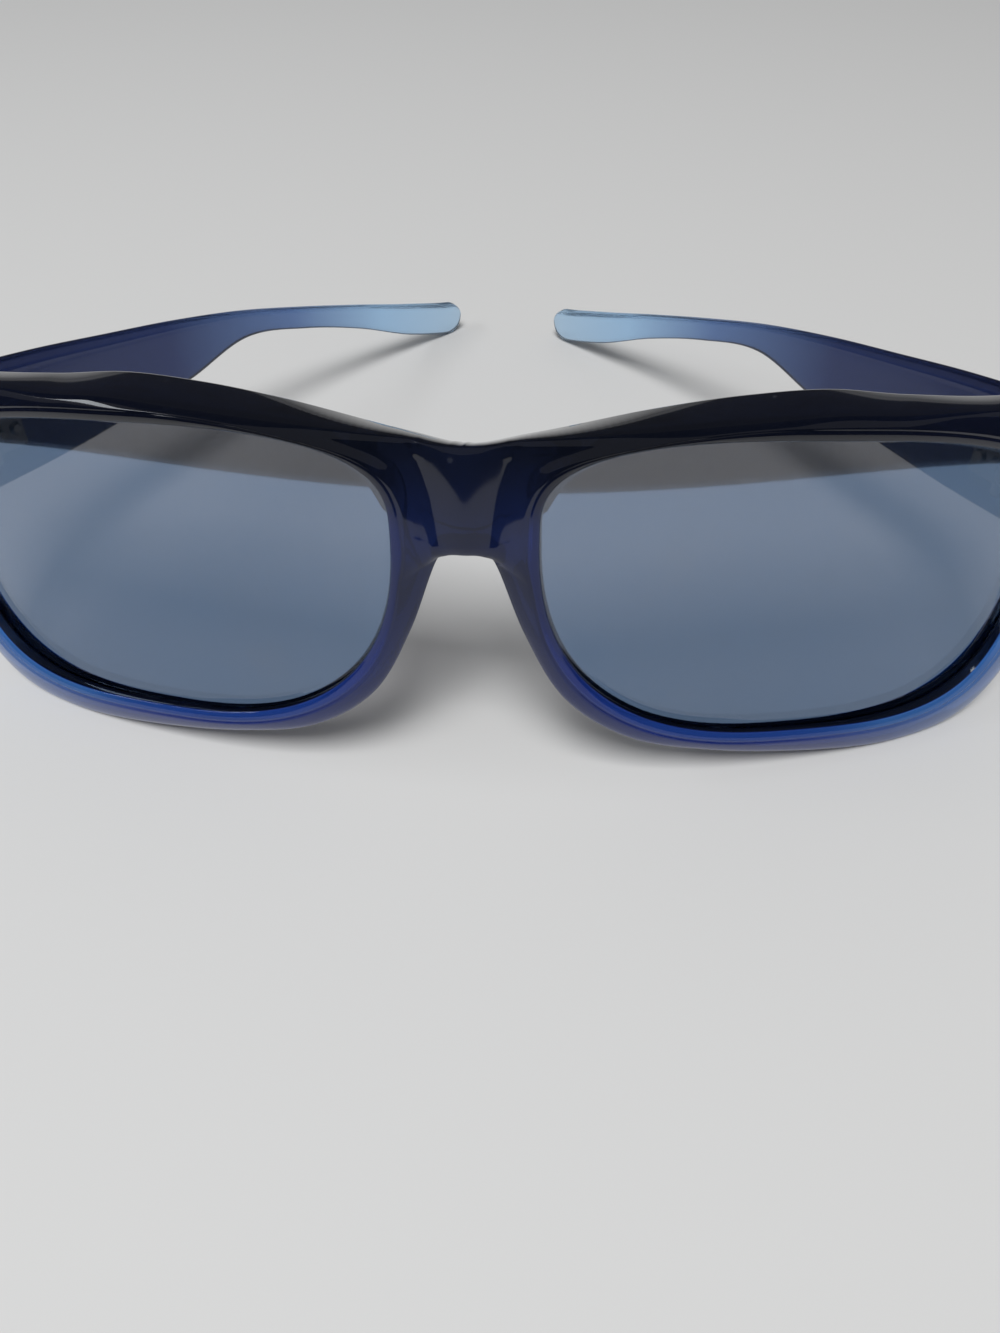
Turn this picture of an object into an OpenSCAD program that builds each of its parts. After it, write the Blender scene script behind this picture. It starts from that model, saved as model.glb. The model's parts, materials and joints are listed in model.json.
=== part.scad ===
// Wrap sunglasses with one-piece moulded front, laminated polarizing lenses and folding temples.
// The shapes are worked out upright in the front's own axes: X to the wearer's left, Y from the
// bridge towards the ears, Z up along the lenses. The whole is then leaned back until the lower
// rims and the temple tips stand on the ground together.

/* [Lens openings] */
// Gap between the two lens openings, across the nose
lens_gap = 16.2; // [14:0.2:20]
// From the nasal edge of an opening to its tallest line
lens_nasal_w = 30.3; // [27:0.1:32]
// From the tallest line of an opening to its outer edge
lens_outer_w = 29.8; // [27:0.1:31]
// Rise of an opening above its widest line
lens_top_h = 12.1; // [10:0.1:14]
// Drop of an opening below its widest line
lens_low_h = 28.4; // [25:0.1:30]
// Height of the widest line above the front's datum
lens_line_z = 6.1; // [4:0.1:8]
// Fall of the outline per mm outwards
lens_slant = 0.106; // [0:0.002:0.15]
// Squareness of the upper outer, upper nasal, lower nasal and lower outer corners
corner_power = [2.6, 2.6, 2.55, 4.0];

/* [Front] */
// Radius of the base curve that the front wraps round
base_r = 150; // [130:1:180]
// How far the rim's face stands proud of the base curve
face_crown = 1.0; // [0.6:0.1:1.6]
// Depth over which the rim's outer edge is rolled back
edge_roll = 2.2; // [1.4:0.1:3]
// Wall of the brow shelf and the lower rim behind the lens
rim_wall = 2.4; // [1.8:0.1:3]
// Wall of the side pieces at the hinge
side_wall = 3.0; // [2.4:0.1:3.6]
// Width of the lip behind the lens, inside its groove
rear_lip = 0.6; // [0.4:0.1:0.9]
// Thickness of that lip at its root, and how much of it is bevelled off at its edge
lip_t = 0.9; // [0.7:0.1:1.2]
lip_bevel = 0.4; // [0.2:0.1:0.6]
// How far the inner edge of the rim's face is set back
inner_set = 0.45; // [0.3:0.05:0.6]
// How far a side piece stands outside the lens opening at its front
side_reach = 6.4; // [5.6:0.1:7]
// How much further out it stands at its rear edge
side_flare = 0.4; // [0:0.1:0.8]
// Depth of the side pieces behind the base curve, before they meet the hinge
side_depth = 14; // [12:0.5:16]
// Depth of the bridge behind the base curve
bridge_depth = 8.4; // [6:0.1:10]
// Height that the ground takes off the rounded lower rims
rest_flat = 0.3; // [0.2:0.05:0.5]

/* [Lenses] */
// Depth of the lens's front face behind the base curve
lens_inset = 1.15; // [0.9:0.05:1.4]
// Thickness of the outer clear layer
outer_layer_t = 0.7; // [0.5:0.05:1]
// Thickness of the polarizing film
film_t = 0.1; // [0.1:0.02:0.2]
// Thickness of the inner tinted layer
inner_layer_t = 0.9; // [0.6:0.05:1.2]
// Depth of the groove that holds the lens edge
groove_depth = 0.9; // [0.7:0.05:1.2]
// How far the lens edge reaches into the groove
lens_bite = 0.45; // [0.35:0.05:0.6]
// Play between a lens face and the groove's wall
groove_play = 0.08; // [0.04:0.02:0.15]

/* [Hinges] */
// How far the hinge axis lies behind the outer end of the front's face
hinge_back = 10.1; // [9:0.1:11]
// Thickness of the plastic pad behind a leaf
pad_t = 2.7; // [2.4:0.1:3]
// How far a pad is sunk into the side piece that carries it
pad_sink = 0.1; // [0.05:0.05:0.2]
// Height of the hinge's middle above the datum
hinge_z = 2.0; // [0:0.1:4]
// Outer diameter of a knuckle
knuckle_d = 3.0; // [2.4:0.1:3.4]
// Height of each front knuckle
front_knuckle_h = 1.7; // [1.2:0.1:2.2]
// Height of the temple knuckle
temple_knuckle_h = 1.6; // [1.2:0.1:2.2]
// Thickness of a hinge washer
washer_t = 0.2; // [0.1:0.05:0.3]
// Thickness of a leaf
leaf_t = 0.9; // [0.7:0.05:1.1]
// Length of a leaf from the axis
leaf_l = 7.0; // [6:0.1:7.6]
// Diameter of the hinge screw's shank
screw_d = 1.4; // [1.2:0.1:1.6]
// Diameter and height of the hinge screw's head
screw_head = [2.4, 0.7];
// Running clearance between the screw and the temple knuckle, on the radius
hinge_play = 0.04; // [0.02:0.01:0.08]
// Clearance of screw and rivets in parts that they don't turn in, on the radius
seat_play = 0.02; // [0.01:0.01:0.05]
// Gap between a pad and the knuckles beside it
pad_gap = 0.2; // [0.1:0.05:0.4]
// Diameter of a leaf rivet's shank
rivet_d = 1.2; // [1:0.1:1.4]
// Diameter and height of a leaf rivet's head
rivet_head = [2.0, 0.45];
// From a leaf's end to the middle of the nearest rivet
rivet_edge = 1.3; // [1.1:0.1:1.5]
// Length of rivet shank in the plastic
rivet_bite = 2.2; // [1.6:0.1:2.6]
// Height of the plastic pad that carries a leaf
pad_h = 9.0; // [8:0.2:11]
// How far a pad runs past the end of its leaf
pad_margin = 0.4; // [0.2:0.1:0.6]

/* [Temples] */
// Length of a temple along its curve
temple_l = 106; // [95:0.5:115]
// Gap between the front's end and the temple's end when open
butt_gap = 0.4; // [0.3:0.05:0.6]
// Inward heading of an open temple at the hinge
open_heading = 4.5; // [2:0.5:7]
// Extra inward turn from the hinge to the tip
temple_bow = 14; // [8:0.5:20]
// Lean of the tip's blade, lower edge outwards
tip_twist = 14; // [0:1:20]
// Thickness of the blade at the hinge, at the arm and at the tip
blade_t = [3.0, 2.2, 2.6];
// Place of the thinnest part of the arm, as a share of the temple's length
arm_place = 0.55; // [0.45:0.05:0.65]
// Length over which the tip is rounded off
tip_round = 3.2; // [2:0.1:4]
// How far the wearer's right temple is folded as it stands
rest_fold_right = 23.5; // [15:0.5:35]
// How far the wearer's left temple is folded as it stands
rest_fold_left = 26.0; // [15:0.5:35]

/* [Hidden] */
$fn = 48;

NAVY = [0.10, 0.12, 0.25];
SKY = [0.38, 0.56, 0.78];
SMOKE = [0.35, 0.42, 0.50, 0.6];
STEEL = [0.72, 0.73, 0.75];

lens_t = outer_layer_t + film_t + inner_layer_t;
lens_mid = lens_inset + lens_t / 2;
lens_cx = lens_gap / 2 + lens_nasal_w;
lens_turn = asin(lens_cx / base_r);
side_x = lens_cx + lens_outer_w + side_reach + side_flare;
hinge_y = base_r - sqrt(base_r * base_r - side_x * side_x) + hinge_back;
pad_x = side_x - side_wall + pad_sink - pad_t;
axis_x = pad_x - pad_gap - knuckle_d / 2;
leaf_h = 2 * front_knuckle_h + temple_knuckle_h + 2 * washer_t;
leaf_near = knuckle_d / 2 + pad_gap;

// Rim round a lens opening, one row every 15 degrees from the outer side over the brow, down
// the nose and back along the lower rim: how far the outer edge lies outwards and up from the
// opening, how far the rear edge lies outwards and up from the outer edge, the depths of the rear
// and outer edges behind the base curve, and the wall there. The sides run back to the hinge, and
// the rows of the bridge run into the mirror plane.
end_y = hinge_y - butt_gap / 2;
rolled = edge_roll - face_crown;
solid = 12;
row_angle = 15;
function to_mirror(row) = -opening(row * row_angle)[0];
RIM = [
    [side_reach, 0.1, side_flare, 0.0, side_depth, rolled, side_wall],
    [6.4, 1.3, 0.6, 0.2, side_depth, rolled, side_wall],
    [6.0, 2.6, 2.4, -0.9, side_depth, rolled, side_wall],
    [4.8, 4.0, 3.5, -1.6, 9.5, rolled, side_wall],
    [2.3, 3.4, 1.5, -1.1, 7.6, rolled, rim_wall],
    [0.7, 2.6, 0.5, -0.6, 8.0, rolled, rim_wall],
    [0.0, 2.5, 0.0, -0.3, 8.8, rolled, rim_wall],
    [-1.0, 1.7, 0.0, -0.3, 9.1, rolled, rim_wall],
    [-3.0, 0.8, 0.0, -0.6, 9.1, rolled, rim_wall],
    [-8.2, -0.2, 0.0, -1.0, 8.8, rolled, 4],
    [to_mirror(10), 1.3, 0.0, -1.2, bridge_depth, 0.8, solid],
    [to_mirror(11), -1.5, 0.0, 0.0, bridge_depth, -0.7, solid],
    [to_mirror(12), -3.7, 0.0, -0.2, bridge_depth, 0.2, solid],
    [-5.3, 2.6, 0.8, -0.4, bridge_depth, rolled, solid],
    [-3.9, 0.8, 1.5, -0.2, 6.8, rolled, rim_wall],
    [-3.4, -2.1, 1.5, 0.6, 5.6, rolled, rim_wall],
    [-2.1, -3.6, 1.0, 1.0, 5.0, rolled, rim_wall],
    [-0.4, -3.8, 0.4, 0.9, 4.8, rolled, rim_wall],
    [0.2, -4.4, 0.0, 0.8, 4.8, rolled, rim_wall],
    [1.0, -5.2, 0.2, 1.0, 5.0, rolled, rim_wall],
    [3.0, -6.2, 1.0, 2.2, 6.0, rolled, rim_wall],
    [4.9, -6.4, 2.7, 8.0, 8.6, rolled, side_wall],
    [5.8, -3.8, 1.4, 10.0, side_depth, rolled, side_wall],
    [6.2, -1.3, 0.6, 4.0, side_depth, rolled, side_wall]];
bridge_first = 10;
bridge_last = 12;
least_x = 0.2;
stations = 72;
per_row = stations / len(RIM);
// Shares of the face's width at which its section bends, and of its crown's height there
face_at = [0.12, 0.35, 0.7];
face_rise = [0.35, 0.9, 1];
// The rolled edge starts this far inside the outer edge, and has dropped by this share there
roll_w = 0.5;
roll_start = 0.3;

// Temple edges every eighth of its length: height of the top and lower edges above the hinge's
// middle.
BLADE = [[9.3, -9.2], [8.2, -9.0], [6.3, -8.0], [3.9, -6.6], [1.1, -3.4],
    [-2.0, -5.8], [-5.3, -9.8], [-8.6, -14.9], [-11.3, -17.9]];
blade_steps = 48;
ring_steps = 16;
ring_power = 4;
// The rings crowd together towards the tip by this power, and the last one keeps this share of
// the height and of the thickness
tip_crowding = 1.7;
tip_end = [0.17, 0.46];

// A smooth curve through the values v at whole steps, closed or open, at the place s
function wrap(i, n) = (i % n + n) % n;
function cubic(p, f) = p[1] + 0.5 * f * (p[2] - p[0] + f * (2 * p[0] - 5 * p[1] + 4 * p[2] - p[3]
    + f * (3 * (p[1] - p[2]) + p[3] - p[0])));
// The arch over the nose, just past the bridge, is straight
function ring_value(c, s) = let (i = floor(s), n = len(RIM),
    p = [for (j = [-1:2]) RIM[wrap(i + j, n)][c]])
    i == bridge_last ? p[1] + (p[2] - p[1]) * (s - i) : cubic(p, s - i);
function blade_value(c, s) = let (n = len(BLADE) - 1, i = min(floor(s), n - 1))
    cubic([for (j = [-1:2]) BLADE[min(max(i + j, 0), n)][c]], s - i);

// Lens opening at the angle a: an oval with its own squareness in each quarter, falling outwards
function opening(a) = let (c = cos(a), s = sin(a),
    p = corner_power[s >= 0 ? (c >= 0 ? 0 : 1) : (c < 0 ? 2 : 3)],
    r = pow(pow(abs(c), p) + pow(abs(s), p), -1 / p),
    x = r * c * (c >= 0 ? lens_outer_w : lens_nasal_w),
    z = r * s * (s >= 0 ? lens_top_h : lens_low_h))
    [lens_cx + x, lens_line_z + z - lens_slant * x];
// Direction square to the outline there, away from the lens
function outward(a) = let (t = opening(a + 0.5) - opening(a)) [t[1], -t[0]] / norm(t);

// Bends a flat point onto the base curve, at the depth d behind it
function wrapped(x, z, d) = let (a = asin(x / base_r))
    [(base_r - d) * sin(a), base_r - (base_r - d) * cos(a), z];

// Height of the rim's outer edge at the place s. The brow's edge comes level at the mirror plane.
function edge_z(s) = opening(s * row_angle)[1] + ring_value(1, s);
function outer_z(s) = let (step = 0.01, s0 = bridge_first - 1, f = s - s0, z0 = edge_z(s0),
    rise = edge_z(bridge_first) - z0, slope = (z0 - edge_z(s0 - step)) / step)
    f > 0 && f < 1 ? z0 + slope * f * pow(1 - f, 2) + rise * f * f * (3 - 2 * f) : edge_z(s);

// Section of the rim at the station k: face, rolled edge, rear edge, inner wall, lens groove
function rim_section(k) = let (
    s = k / per_row, i = opening(k * 360 / stations),
    on_bridge = s >= bridge_first && s <= bridge_last,
    o = [on_bridge ? 0 : max(least_x, i[0] + ring_value(0, s)), outer_z(s)],
    span = norm(o - i), e = (o - i) / span,
    edge = ring_value(5, s),
    flat = max(0, 1 - max(0, bridge_first - s, s - bridge_last)),
    rear = [on_bridge ? 0 : max(least_x, o[0] + ring_value(2, s)), o[1] + ring_value(3, s)],
    front_y = wrapped(o[0], 0, 0)[1],
    rear_y = min(end_y, front_y + ring_value(4, s)),
    wall = min(ring_value(6, s), span - rear_lip),
    deep = lens_inset + lens_t + groove_play,
    seat = deep + lip_t,
    drawn = span + min(0, (rear - o) * e * (seat - edge) / (rear_y - front_y)),
    dip = edge + face_crown,
    at = function (f, d) let (q = i + e * f) wrapped(q[0], q[1], d),
    floor_at = i + outward(k * 360 / stations) * groove_depth,
    rear_o = [rear[0], rear_y, rear[1]],
    rear_i = rear_o - [e[0] * wall, 0, e[1] * wall])
    [at(0, inner_set), at(span * face_at[0], -face_crown * face_rise[0]),
        at(span * face_at[1], -face_crown * face_rise[1]),
        at(span * face_at[2], -face_crown * face_rise[2] + dip * flat / 2),
        at(span - roll_w, -face_crown + dip * (roll_start + (1 - roll_start) * flat)),
        at(span, edge), rear_o, rear_i,
        at(max(rear_lip, drawn - wall), seat), at(0, seat - lip_bevel), at(0, deep),
        wrapped(floor_at[0], floor_at[1], deep),
        wrapped(floor_at[0], floor_at[1], lens_inset - groove_play),
        at(0, lens_inset - groove_play)];
function front_points() = [for (k = [0:stations - 1]) each rim_section(k)];

// The front as one closed skin: both rims share the points that lie in the mirror plane
module front_skin() {
    right = front_points();
    n = stations;
    m = len(right) / n;
    first = bridge_first * per_row;
    last = bridge_last * per_row;
    function mid(k, j) = k >= first && k <= last && (j == 5 || j == 6);
    function id(side, k, j) = let (q = wrap(k, n) * m + wrap(j, m))
        side > 0 || mid(wrap(k, n), wrap(j, m)) ? q : q + n * m;
    function quad(side, k, j) = let (a = id(side, k, j), b = id(side, k + 1, j),
        c = id(side, k + 1, j + 1), d = id(side, k, j + 1))
        side > 0 ? [[a, b, d], [b, c, d]] : [[a, d, b], [b, d, c]];
    points = [each right, for (p = right) [-p[0], p[1], p[2]]];
    faces = [for (side = [1, -1], k = [0:n - 1], j = [0:m - 1])
        if (!(j == 5 && k >= first && k < last)) each quad(side, k, j)];
    polyhedron(points, faces);
}

// Middle line of an open temple, and its heading, at the share u of its length
function heading(u) = open_heading + temple_bow * u;
temple_r = temple_l / (temple_bow * PI / 180);
temple_x = pad_x + pad_t - 2 * pad_sink + blade_t[0] / 2;
temple_y = hinge_y + butt_gap / 2;
function middle(u) = [temple_x + temple_r * (cos(heading(u)) - cos(heading(0))),
    temple_y + temple_r * (sin(heading(u)) - sin(heading(0)))];
function blade_thick(u) = u < arm_place ? blade_t[0] + (blade_t[1] - blade_t[0]) * u / arm_place
    : blade_t[1] + (blade_t[2] - blade_t[1]) * (u - arm_place) / (1 - arm_place);

// Ring of a temple at the share u: a rounded oblong, twisted towards the tip and drawn in there
function blade_ring(u) = let (
    c = middle(u), h = heading(u), inward = [-cos(h), -sin(h)],
    s = u * (len(BLADE) - 1), top = blade_value(0, s), low = blade_value(1, s),
    left = max(0, (u - 1) * temple_l / tip_round + 1),
    end = sqrt(1 - left * left),
    half_h = (top - low) / 2 * max(tip_end[0], end),
    half_t = blade_thick(u) / 2 * (tip_end[1] + (1 - tip_end[1]) * end),
    tw = tip_twist * u * u)
    [for (j = [0:ring_steps - 1]) let (a = j * 360 / ring_steps,
        r = pow(pow(abs(cos(a)), ring_power) + pow(abs(sin(a)), ring_power), -1 / ring_power),
        t = half_t * r * cos(a), v = half_h * r * sin(a),
        across = t * cos(tw) + v * sin(tw), up = v * cos(tw) - t * sin(tw))
        [c[0] + inward[0] * across, c[1] + inward[1] * across, hinge_z + (top + low) / 2 + up]];
function blade_points() = [for (k = [0:blade_steps])
    each blade_ring(1 - pow(1 - k / blade_steps, tip_crowding))];
module blade_skin() {
    n = blade_steps;
    m = ring_steps;
    function id(k, j) = k * m + wrap(j, m);
    faces = [[for (j = [0:m - 1]) j],
        for (k = [0:n - 1], j = [0:m - 1]) each [[id(k, j), id(k + 1, j + 1), id(k, j + 1)],
            [id(k, j), id(k + 1, j), id(k + 1, j + 1)]],
        [for (j = [0:m - 1]) n * m + m - 1 - j]];
    polyhedron(blade_points(), faces);
}

// The attitude as it stands. A point is leaned back about X, and the lean is the one at which
// the lowest points of the rims and of the further temple tip are level.
function low(points, lean) = min([for (p = points) p[2] * cos(lean) - p[1] * sin(lean)]);
function folded(p, fold) = let (x = p[0] - axis_x, y = p[1] - hinge_y)
    [axis_x + x * cos(fold) - y * sin(fold), hinge_y + x * sin(fold) + y * cos(fold), p[2]];
front_all = front_points();
rest_fold_least = min(rest_fold_left, rest_fold_right);
tips_all = [for (p = blade_points()) folded(p, rest_fold_least)];
reach = temple_l * 0.9;
function find_lean(lean, tries) = tries == 0 ? lean :
    find_lean(lean + atan((low(tips_all, lean) - low(front_all, lean) - rest_flat) / reach),
        tries - 1);
rest_lean = find_lean(9, 4);
ground = low(front_all, rest_lean) + rest_flat;
front_y = min([for (p = front_all) p[1] * cos(rest_lean) + p[2] * sin(rest_lean)]);
back_y = max([for (p = tips_all) p[1] * cos(rest_lean) + p[2] * sin(rest_lean)]);
middle_y = (front_y + back_y) / 2;

module stand() {
    translate([0, -middle_y, -ground]) rotate([-rest_lean, 0, 0]) children();
}
// One of the two sides: 1 is the wearer's left, at +X
module side(s) { if (s > 0) children(); else mirror([1, 0, 0]) children(); }
module fold(s) {
    angle = s > 0 ? rest_fold_left : rest_fold_right;
    stand() side(s) translate([axis_x, hinge_y, 0]) rotate([0, 0, angle])
        translate([-axis_x, -hinge_y, 0]) children();
}

// Pad of plastic behind a leaf, with its blind rivet holes; dir is 1 towards the ears
rivet_places = [leaf_near + rivet_edge, leaf_l - rivet_edge];
module pad(dir) {
    near = butt_gap / 2;
    far = leaf_l + pad_margin;
    translate([pad_x, hinge_y + (dir > 0 ? near : -far), hinge_z - pad_h / 2])
        cube([pad_t, far - near, pad_h]);
}
module rivet_holes(dir) {
    for (y = rivet_places)
        translate([pad_x - leaf_t, hinge_y + dir * y, hinge_z]) rotate([0, 90, 0])
            cylinder(d = rivet_d + 2 * seat_play, h = leaf_t + rivet_bite + seat_play);
}
module front_frame() {
    color(NAVY) difference() {
        stand() {
            difference() {
                union() {
                    front_skin();
                    for (s = [1, -1]) side(s) pad(-1);
                }
                for (s = [1, -1]) side(s) rivet_holes(-1);
            }
        }
        translate([0, 0, -base_r]) cube(2 * base_r, center = true);
    }
}

// One layer of a lens: its outline cut through a shell of the base curve, from depth d0 to d1
function lens_edge() = [for (k = [0:stations - 1]) let (a = k * 360 / stations,
    w = opening(a) + outward(a) * lens_bite, turn = asin(w[0] / base_r) - lens_turn)
    [(base_r - lens_mid) * sin(turn), w[1]]];
module lens_layer(s, d0, d1) {
    tall = 2 * (lens_low_h + lens_top_h);
    stand() side(s) translate([0, base_r, 0]) rotate([0, 0, lens_turn]) translate([0, -base_r, 0])
        intersection() {
            translate([0, base_r, -tall / 2]) difference() {
                cylinder(r = base_r - d0, h = tall, $fn = 360);
                translate([0, 0, -1]) cylinder(r = base_r - d1, h = tall + 2, $fn = 360);
            }
            translate([0, base_r / 2, 0]) rotate([90, 0, 0])
                linear_extrude(height = base_r) polygon(lens_edge());
        }
}
film_d = lens_inset + outer_layer_t;
module outer_layer(s) { color(SMOKE) lens_layer(s, lens_inset, film_d); }
module film(s) { color(SMOKE) lens_layer(s, film_d, film_d + film_t); }
module inner_layer(s) { color(SMOKE) lens_layer(s, film_d + film_t, lens_inset + lens_t); }

// Hinge leaf: plate on its pad, tabs, and knuckles at the heights [low, high] from the middle
module leaf(dir, knuckles, bore_d) {
    difference() {
        union() {
            translate([pad_x - leaf_t, hinge_y + (dir > 0 ? leaf_near : -leaf_l), hinge_z - leaf_h / 2])
                cube([leaf_t, leaf_l - leaf_near, leaf_h]);
            for (z = knuckles) {
                translate([axis_x, hinge_y, hinge_z + z[0]])
                    cylinder(d = knuckle_d, h = z[1] - z[0]);
                translate([pad_x - leaf_t, hinge_y - (dir > 0 ? 0 : leaf_near + 0.1), hinge_z + z[0]])
                    cube([leaf_t - pad_gap, leaf_near + 0.1, z[1] - z[0]]);
            }
        }
        translate([axis_x, hinge_y, hinge_z - leaf_h]) cylinder(d = bore_d, h = 2 * leaf_h);
        rivet_holes(dir);
    }
}
temple_top = temple_knuckle_h / 2;
front_low = temple_top + washer_t;
module front_leaf(s) {
    color(STEEL) stand() side(s) leaf(-1, [[-leaf_h / 2, -front_low], [front_low, leaf_h / 2]],
        screw_d + 2 * seat_play);
}
module temple_leaf(s) {
    color(STEEL) fold(s) leaf(1, [[-temple_top, temple_top]], screw_d + 2 * hinge_play);
}
module rivets(dir) {
    for (y = rivet_places) translate([pad_x - leaf_t, hinge_y + dir * y, hinge_z]) {
        rotate([0, 90, 0]) cylinder(d = rivet_d, h = leaf_t + rivet_bite);
        rotate([0, -90, 0]) cylinder(d1 = rivet_head[0], d2 = rivet_head[0] * 0.6, h = rivet_head[1]);
    }
}
module front_rivets(s) { color(STEEL) stand() side(s) rivets(-1); }
module temple_rivets(s) { color(STEEL) fold(s) rivets(1); }

module hinge_screw(s) {
    color(STEEL) stand() side(s) translate([axis_x, hinge_y, hinge_z]) difference() {
        union() {
            translate([0, 0, -leaf_h / 2]) cylinder(d = screw_d, h = leaf_h + screw_head[1] / 2);
            translate([0, 0, leaf_h / 2]) cylinder(d = screw_head[0], h = screw_head[1]);
        }
        translate([-screw_head[0], -0.15, leaf_h / 2 + screw_head[1] * 0.5])
            cube([2 * screw_head[0], 0.3, screw_head[1]]);
    }
}
module hinge_washers(s) {
    color("white") stand() side(s) for (z = [-front_low, temple_top])
        translate([axis_x, hinge_y, hinge_z + z]) difference() {
            cylinder(d = knuckle_d - 0.3, h = washer_t);
            translate([0, 0, -1]) cylinder(d = screw_d + 2 * seat_play, h = washer_t + 2);
        }
}
module temple(s) {
    color(SKY) fold(s) difference() {
        union() {
            blade_skin();
            pad(1);
        }
        rivet_holes(1);
    }
}

front_frame();
outer_layer(1);  // lens_outer_layer_left
outer_layer(-1);  // lens_outer_layer_right
film(1);  // polarizing_film_left
film(-1);  // polarizing_film_right
inner_layer(1);  // lens_inner_layer_left
inner_layer(-1);  // lens_inner_layer_right
front_leaf(1);  // front_hinge_leaf_left
front_leaf(-1);  // front_hinge_leaf_right
front_rivets(1);  // front_leaf_rivets_left
front_rivets(-1);  // front_leaf_rivets_right
hinge_screw(1);  // hinge_screw_left
hinge_screw(-1);  // hinge_screw_right
hinge_washers(1);  // hinge_washers_left
hinge_washers(-1);  // hinge_washers_right
temple(1);  // temple_left
temple(-1);  // temple_right
temple_leaf(1);  // temple_hinge_leaf_left
temple_leaf(-1);  // temple_hinge_leaf_right
temple_rivets(1);  // temple_leaf_rivets_left
temple_rivets(-1);  // temple_leaf_rivets_right
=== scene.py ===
import json
import math

import bmesh
import bpy
import numpy as np
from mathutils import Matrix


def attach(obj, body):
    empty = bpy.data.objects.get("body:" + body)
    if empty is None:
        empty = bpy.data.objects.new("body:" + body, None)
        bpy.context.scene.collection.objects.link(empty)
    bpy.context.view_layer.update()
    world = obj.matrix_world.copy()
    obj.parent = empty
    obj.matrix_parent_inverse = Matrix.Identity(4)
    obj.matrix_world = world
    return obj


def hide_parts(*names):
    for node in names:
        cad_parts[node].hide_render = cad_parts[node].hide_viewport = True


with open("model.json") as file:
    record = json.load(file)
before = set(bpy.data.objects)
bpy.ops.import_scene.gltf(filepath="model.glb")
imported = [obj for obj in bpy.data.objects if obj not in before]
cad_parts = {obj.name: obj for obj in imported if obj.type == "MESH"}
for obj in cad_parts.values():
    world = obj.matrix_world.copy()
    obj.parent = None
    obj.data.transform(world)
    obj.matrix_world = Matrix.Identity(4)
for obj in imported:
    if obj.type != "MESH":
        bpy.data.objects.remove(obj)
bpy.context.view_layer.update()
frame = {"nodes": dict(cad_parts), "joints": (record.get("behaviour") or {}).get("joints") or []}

# Front: one injection-moulded piece of translucent blue plastic, polished all over. It holds both
# rims, the bridge, the deep brow shelf and the two side pieces that reach back to the hinges.
# It is worked out in millimetres in its own upright axes, and stands leaned back on its rims.
MM = 0.001
SIDES = {"left": 1, "right": -1}
lens_gap, lens_nasal_w, lens_outer_w = 16.2, 30.3, 29.8
lens_top_h, lens_low_h, lens_line_z, lens_slant = 12.1, 28.4, 6.1, 0.106
corner_power, chord_angle, rounding_error = (2.6, 2.6, 2.55, 4.0), 0.5, 1e-12
lens_cx = lens_gap / 2 + lens_nasal_w
base_r, face_crown, edge_roll = 150.0, 1.0, 2.2
rim_wall, side_wall, rear_lip, lip_t, lip_bevel = 2.4, 3.0, 0.6, 0.9, 0.4
side_reach, side_flare, side_depth, bridge_depth = 6.4, 0.4, 14.0, 8.4
lens_inset, lens_t, groove_depth, groove_play = 1.15, 1.7, 0.9, 0.08
butt_gap, hinge_back, hinge_z, knuckle_d, pad_gap = 0.4, 10.1, 2.0, 3.0, 0.2
pad_t, pad_sink, pad_h, leaf_l, pad_margin = 2.7, 0.1, 9.0, 7.0, 0.4
side_x = lens_cx + lens_outer_w + side_reach + side_flare
hinge_y = base_r - math.sqrt(base_r ** 2 - side_x ** 2) + hinge_back
pad_x = side_x - side_wall + pad_sink - pad_t
axis_x = pad_x - pad_gap - knuckle_d / 2
end_y = hinge_y - butt_gap / 2
left_hinge = next(j for j in frame["joints"] if j["name"] == "temple_fold_left")
lean = math.atan2(left_hinge["axis"][1], left_hinge["axis"][2])


def stand(points):
    """Leans points in the front's axes, in millimetres, back about X by the lean of the hinge axis,
    and moves them so that the left hinge lies where the frame has it, in metres."""
    def leaned(p):
        y, z = p[..., 1], p[..., 2]
        return np.stack([p[..., 0], y * math.cos(lean) + z * math.sin(lean),
                         z * math.cos(lean) - y * math.sin(lean)], -1)
    hinge = leaned(np.array([axis_x, hinge_y, hinge_z]))
    return (leaned(points) - hinge) * MM + np.array(left_hinge["pos_m"])


def opening(angle):
    """Lens opening in the flat: an oval with its own squareness in each quarter, |c|^p + |s|^p = 1,
    that falls outwards in proportion to the distance from its tallest line."""
    c, s = np.cos(np.radians(angle)), np.sin(np.radians(angle))
    above = s >= -rounding_error
    p = np.select([above & (c >= 0), above, c < 0], corner_power[:3], corner_power[3])
    r = (np.abs(c) ** p + np.abs(s) ** p) ** (-1 / p)
    x = r * c * np.where(c >= 0, lens_outer_w, lens_nasal_w)
    z = r * s * np.where(s >= 0, lens_top_h, lens_low_h)
    return np.stack([lens_cx + x, lens_line_z + z - lens_slant * x], -1)


def outward(angle):
    """Unit direction square to the opening's outline, away from the lens, from a short chord."""
    t = opening(angle + chord_angle) - opening(angle)
    return np.stack([t[..., 1], -t[..., 0]], -1) / np.linalg.norm(t, axis=-1, keepdims=True)


def wrapped(x, z, depth):
    """Bends a flat point onto the cylinder of the base curve, at a depth behind it."""
    a = np.arcsin(x / base_r)
    return np.stack([(base_r - depth) * np.sin(a), base_r - (base_r - depth) * np.cos(a),
                     z + 0 * a], -1)


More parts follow.
